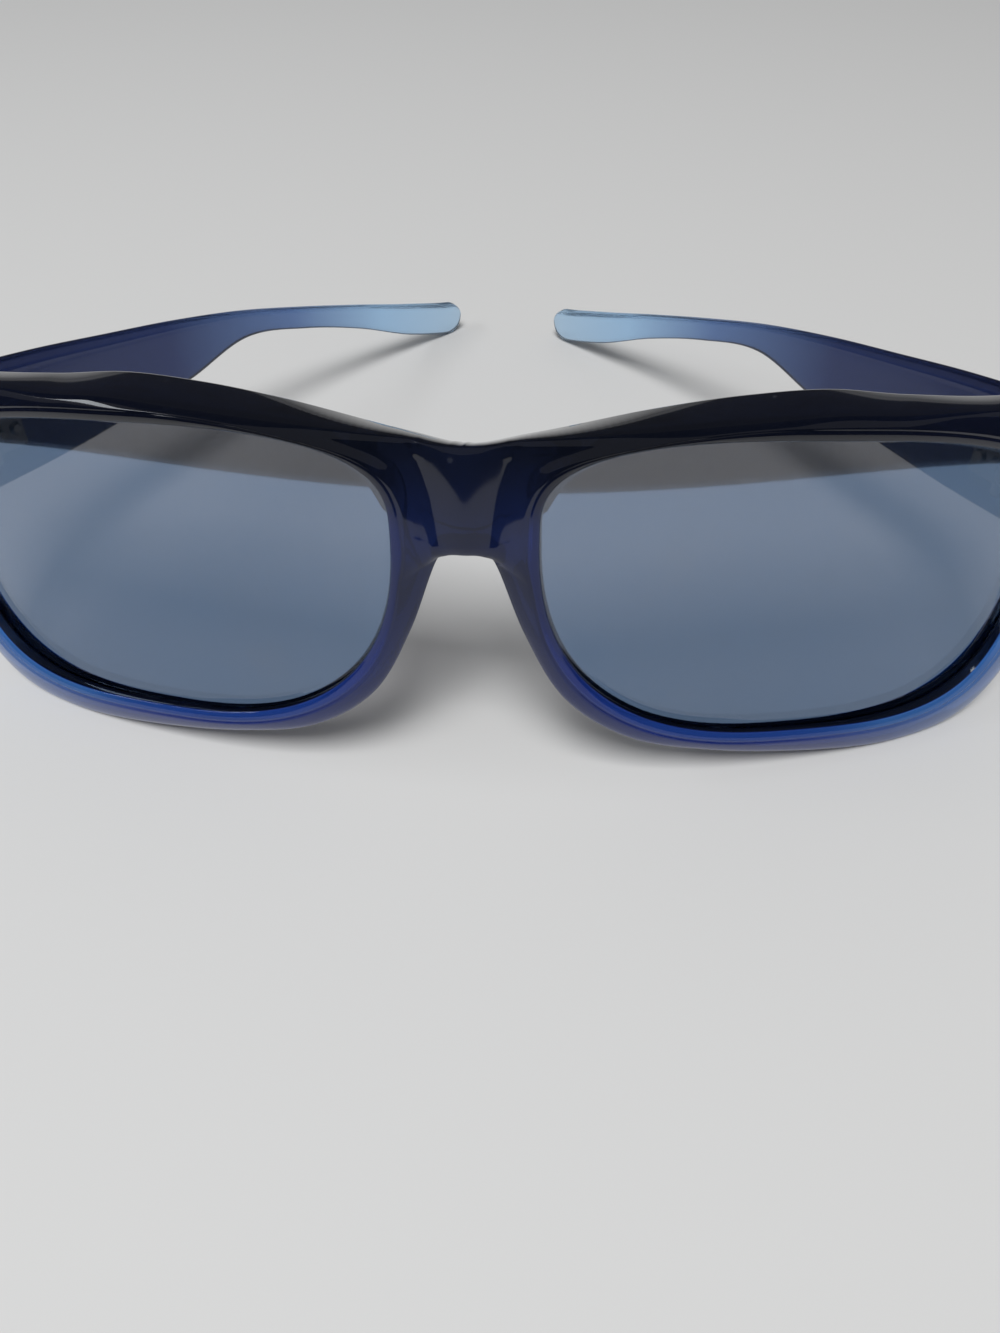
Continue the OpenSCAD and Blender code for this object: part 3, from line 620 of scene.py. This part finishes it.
finishes = {"gunmetal_leaf": ((0.20, 0.21, 0.23, 1), 900.0, 0.26,
                              ("front_hinge_leaf", "temple_hinge_leaf")),
            "gunmetal_rivet": ((0.26, 0.27, 0.29, 1), 1600.0, 0.22,
                               ("front_leaf_rivets", "temple_leaf_rivets")),
            "steel_screw": ((0.50, 0.50, 0.52, 1), 2200.0, 0.20, ("hinge_screw",))}
for name, (tone, scale, roughness, pieces) in finishes.items():
    material, tree, shader = new_material(name)
    shader.inputs["Metallic"].default_value = 1.0
    surface = add_node(tree, "ShaderNodeGroup", {"node_tree": metal}, Tone=tone, Scale=scale,
                       Roughness=roughness)
    join_surface(tree, surface, shader)
    dress([f"{piece}_{side}" for piece in pieces for side in SIDES], material)
nylon, tree, shader = new_material("nylon_washer")
where = add_node(tree, "ShaderNodeTexCoord").outputs["Object"]
speckle = add_node(tree, "ShaderNodeTexNoise", None, Vector=where, Scale=1500.0, Detail=2.0)
milky = color_ramp(tree, speckle.outputs["Fac"], [(0, (0.60, 0.61, 0.60)), (1, (0.78, 0.79, 0.78))])
polished(tree, shader, milky, gloss=0.45, lint=0.0, waviness=0.05)
dress([f"hinge_washers_{side}" for side in SIDES], nylon)

# Temples: moulded of the same translucent plastic, navy by the hinge and fading to light blue at
# the tip. Each has a wide blade, a narrow arm and a drop end, and carries a pad for its leaf.
# The rows are the heights of its upper and lower edge over the hinge, at even steps along it.
temple_l, open_heading, temple_bow, tip_twist = 106.0, 4.5, 14.0, 14.0
blade_t, arm_place, tip_round, ring_power, tip_crowding = (3.0, 2.2, 2.6), 0.55, 3.2, 4, 1.7
blade_rows = np.array([[8.6, -9.2], [7.3, -9.0], [5.4, -8.0], [3.5, -6.6], [1.1, -3.4],
                       [-2.0, -5.8], [-5.3, -9.8], [-8.6, -14.9], [-11.3, -17.9]])
temple_x = pad_x + pad_t - 2 * pad_sink + blade_t[0] / 2
temple_y = hinge_y + butt_gap / 2
temple_rings, ring_points, hinge_tint = 260, 56, 0.0


def along_blade(column, u):
    """Edge height at the share u of the temple's length: a smooth cubic through the rows."""
    last = len(blade_rows) - 1
    i = np.minimum(np.floor(u * last).astype(int), last - 1)
    p = [blade_rows[np.clip(i + j, 0, last), column] for j in (-1, 0, 1, 2)]
    return smooth_between(p, u * last - i)


def temple_points():
    """Open temple as rings along an arc: each ring is a rounded oblong, |c|^p + |s|^p = 1, between
    the two edge heights, twisted towards the tip, and drawn in to a round end there."""
    u = 1 - (1 - np.linspace(0, 1, temple_rings)) ** tip_crowding
    heading = np.radians(open_heading + temple_bow * u)
    start, r = math.radians(open_heading), temple_l / math.radians(temple_bow)
    x = temple_x + r * (np.cos(heading) - math.cos(start))
    y = temple_y + r * (np.sin(heading) - math.sin(start))
    top, low = along_blade(0, u), along_blade(1, u)
    left = np.clip((u - 1) * temple_l / tip_round + 1, 0, 1)
    end = np.sqrt(1 - left ** 2)
    thick = np.interp(u, (0, arm_place, 1), blade_t)
    a = np.arange(ring_points) * 2 * np.pi / ring_points
    reach = (np.abs(np.cos(a)) ** ring_power + np.abs(np.sin(a)) ** ring_power) ** (-1 / ring_power)
    half = np.stack([thick / 2 * np.sqrt(end), (top - low) / 2 * end], -1)
    t, v = half[:, :1] * reach * np.cos(a), half[:, 1:] * reach * np.sin(a)
    twist = np.radians(tip_twist * u * u)[:, None]
    over, up = t * np.cos(twist) + v * np.sin(twist), v * np.cos(twist) - t * np.sin(twist)
    turn = heading[:, None]
    rings = np.stack([x[:, None] - np.cos(turn) * over, y[:, None] - np.sin(turn) * over,
                      hinge_z + ((top + low) / 2)[:, None] + up], -1)
    cap = np.stack([x[:1], y[:1], hinge_z + (top + low)[:1] / 2], -1)
    return np.concatenate([np.repeat(cap[:, None], ring_points, 1), rings]), np.r_[0, u]


def folded(points, degrees):
    """Turns points of the left temple inwards about the hinge axis."""
    c, s = math.cos(math.radians(degrees)), math.sin(math.radians(degrees))
    x, y = points[..., 0] - axis_x, points[..., 1] - hinge_y
    return np.stack([axis_x + x * c - y * s, hinge_y + x * s + y * c, points[..., 2]], -1)


temple_material, tree, shader = new_material("fading_plastic")
tint_value = add_node(tree, "ShaderNodeAttribute", {"attribute_name": "tint"}).outputs["Fac"]
FADE = [(0.0, (0.016, 0.024, 0.080)), (0.35, (0.030, 0.048, 0.150)), (0.6, (0.14, 0.24, 0.50)),
        (0.8, (0.46, 0.71, 1.0)), (1.0, (0.58, 0.79, 1.0))]
polished(tree, shader, color_ramp(tree, tint_value, FADE), gloss=0.04, lint=0.2, waviness=0.1)
shader.inputs["Transmission Weight"].default_value = 0.9
shader.inputs["IOR"].default_value = 1.45
rings, place = temple_points()
temple_faces = grid_faces(*rings.shape[:2], False, True)
for joint in frame["joints"]:
    name = joint["name"].replace("temple_fold_", "")
    rest_fold = -joint["range_deg"][0]
    points = stand(folded(rings, rest_fold) * [SIDES[name], 1, 1]).reshape(-1, 3)
    points[:, 2] = np.maximum(points[:, 2], 0)
    temple = make_piece(f"temple_{name}_moulding", points, temple_faces,
                        tint=np.repeat(place, ring_points))
    add_block(temple, (pad_x, hinge_y + pad_reach[0], hinge_z - pad_h / 2),
              (pad_x + pad_t, hinge_y + pad_reach[1], hinge_z + pad_h / 2), pad_bevel,
              SIDES[name], hinge_tint, lambda co: folded(co, rest_fold))
    temple.data.materials.append(temple_material)
    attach(temple, f"temple_arm_{name}")
    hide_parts(f"temple_{name}")

# Studio: a plain pale floor, an even grey world, a soft lamp above and another at one side, two
# black cards, and the camera of the photograph.
floor_half_w = 3.0
floor_corners = ((-1, -1), (1, -1), (1, 1), (-1, 1))
floor_points = np.array([[x * floor_half_w, y * floor_half_w, 0] for x, y in floor_corners])
floor_mesh = bpy.data.meshes.new("floor")
floor_mesh.from_pydata(floor_points, [], [(0, 1, 2, 3)])
floor = add_object("floor", floor_mesh)
felt, tree, shader = new_material("pale_floor")
shader.inputs["Base Color"].default_value = (0.66, 0.66, 0.655, 1)
shader.inputs["Roughness"].default_value = 1.0
shader.inputs["Specular IOR Level"].default_value = 0.1
floor.data.materials.append(felt)

world = bpy.data.worlds.new("studio")
world.use_nodes = True
world.node_tree.nodes["Background"].inputs["Color"].default_value = (0.22, 0.22, 0.222, 1)
world.node_tree.nodes["Background"].inputs["Strength"].default_value = 1.0
bpy.context.scene.world = world


def add_lamp(name, place, aim, size, power, color=(1, 1, 1)):
    """Rectangular lamp at a place, turned towards the point that it lights. It isn't seen through
    the plastic, where it would show as a hard spot."""
    light = bpy.data.lights.new(name, "AREA")
    light.shape = "RECTANGLE"
    light.size, light.size_y = size
    light.energy = power
    light.color = color
    lamp = add_object(name, light)
    direction = np.array(aim, float) - np.array(place, float)
    flat = math.hypot(direction[0], direction[1])
    lamp.location = place
    lamp.visible_transmission = False
    lamp.rotation_euler = (math.atan2(flat, -direction[2]), 0,
                           math.atan2(direction[1], direction[0]) - math.pi / 2)
    return lamp


key = add_lamp("overhead_softbox", place=(-0.06, -0.56, 1.12), aim=(0, -0.03, 0),
               size=(0.46, 0.46), power=12.0)
key.visible_glossy = False
add_lamp("side_softbox", place=(-0.78, -0.22, 0.70), aim=(0, 0, 0.03), size=(0.60, 0.12),
         power=1.5, color=(0.92, 0.96, 1.0))

# Two black cards show only in the polish and through the plastic. One stands round the front, so
# that the polish and the lenses mirror the pale floor only up to its foot, and one arches over the
# back and darkens the brow.
black, tree, shader = new_material("black_card")
shader.inputs["Base Color"].default_value = (0.055, 0.055, 0.06, 1)
shader.inputs["Roughness"].default_value = 1.0
card_steps = 41


def add_card(name, edge, other_edge):
    """Curved card between two edges with as many points each. The camera doesn't see it, and it
    throws no shadow."""
    mesh = bpy.data.meshes.new(name)
    points = np.stack([edge, other_edge], 1).reshape(-1, 3)
    mesh.from_pydata(points, [], grid_faces(len(edge), 2, False, False).tolist())
    mesh.materials.append(black)
    card = add_object(name, mesh)
    for ray in ("camera", "diffuse", "shadow"):
        setattr(card, f"visible_{ray}", False)


front_middle, front_reach, front_height = (0, -0.05), (0.155, 0.110), 0.12
front_angles, arch_angles = (185, 355), (4, 88)
turn = np.radians(np.linspace(*front_angles, card_steps))
foot = np.stack([front_middle[0] + front_reach[0] * np.cos(turn),
                 front_middle[1] + front_reach[1] * np.sin(turn), 0 * turn], -1)
add_card("front_card", foot, foot + [0, 0, front_height])
arch_radius, arch_half_w = 0.9, 1.2
turn = np.radians(np.linspace(*arch_angles, card_steps))
side = np.stack([arch_half_w + 0 * turn, arch_radius * np.cos(turn), arch_radius * np.sin(turn)], -1)
add_card("back_card", side, side * [-1, 1, 1])

camera_data = bpy.data.cameras.new("photograph_camera")
camera_data.lens = 27.28
camera_data.clip_start = 0.005
camera = add_object("photograph_camera", camera_data)
camera.location = (0.00953, -0.13859, 0.1086)
camera.rotation_euler = tuple(math.radians(a) for a in (42.784, 0.518, 3.486))
bpy.context.scene.camera = camera
bpy.context.scene.view_settings.view_transform = "Standard"
